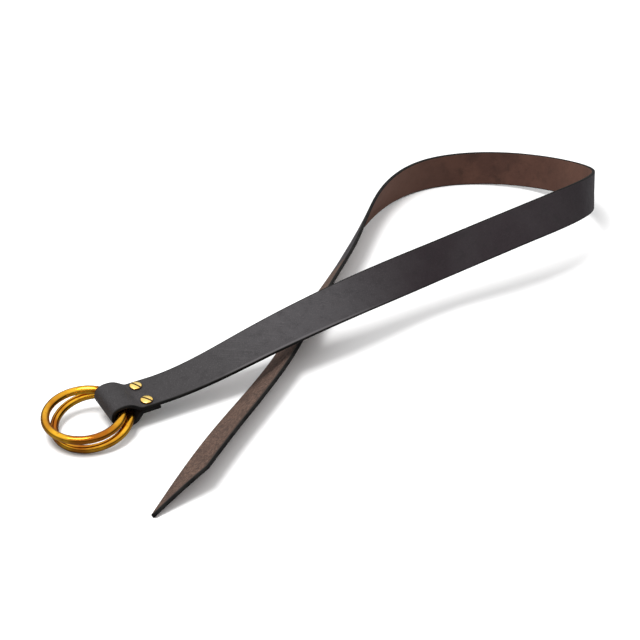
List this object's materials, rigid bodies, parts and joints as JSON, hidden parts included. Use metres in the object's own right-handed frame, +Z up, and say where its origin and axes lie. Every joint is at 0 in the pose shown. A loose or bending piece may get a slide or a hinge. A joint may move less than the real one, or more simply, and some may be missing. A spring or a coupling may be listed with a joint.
{
  "type": "leather strop",
  "caption": "Long narrow leather strop strap, folded round interlocked brass rings and closed by slotted post screws, lying in an open loop with its pointed end free.",
  "frame": {"origin": "centre of the underside of the left post's cap", "axes": "+X along the strap away from the rings, +Z up from the ground it lies on, +Y towards the left post's side; the posts lean 4.9 degrees from +Z with the strap"},
  "size_m": [0.5816, 0.3282, 0.0754],
  "materials": {
    "black_leather": "satin black grain side, brown flesh side",
    "ring_brass": "polished",
    "pale_brass": "satin"
  },
  "bodies": {
    "strap": {"strap": "black_leather", "post_left": "pale_brass", "post_right": "pale_brass"},
    "ring_upper": {"ring_upper": "ring_brass"},
    "ring_lower": {"ring_lower": "ring_brass"},
    "screw_left": {"screw_left": "pale_brass"},
    "screw_right": {"screw_right": "pale_brass"}
  },
  "joints": [
    {"name": "ring_upper_swing", "type": "hinge", "parent": "strap", "child": "ring_upper", "pos_m": [-0.022, -0.01, 0.007], "axis": [0, 0.9963, 0.0854], "range_deg": [0, 10]},
    {"name": "ring_lower_turn", "type": "hinge", "parent": "strap", "child": "ring_lower", "pos_m": [-0.0402, -0.0106, -0.00343], "axis": [-0.1847, -0.1028, 0.9774], "continuous": true},
    {"name": "screw_left_turn", "type": "hinge", "parent": "strap", "child": "screw_left", "pos_m": [0, 0, 0], "axis": [0, -0.0854, 0.9963], "continuous": true},
    {"name": "screw_right_turn", "type": "hinge", "parent": "strap", "child": "screw_right", "pos_m": [0, -0.01893, -0.00162], "axis": [0, -0.0854, 0.9963], "continuous": true}
  ]
}
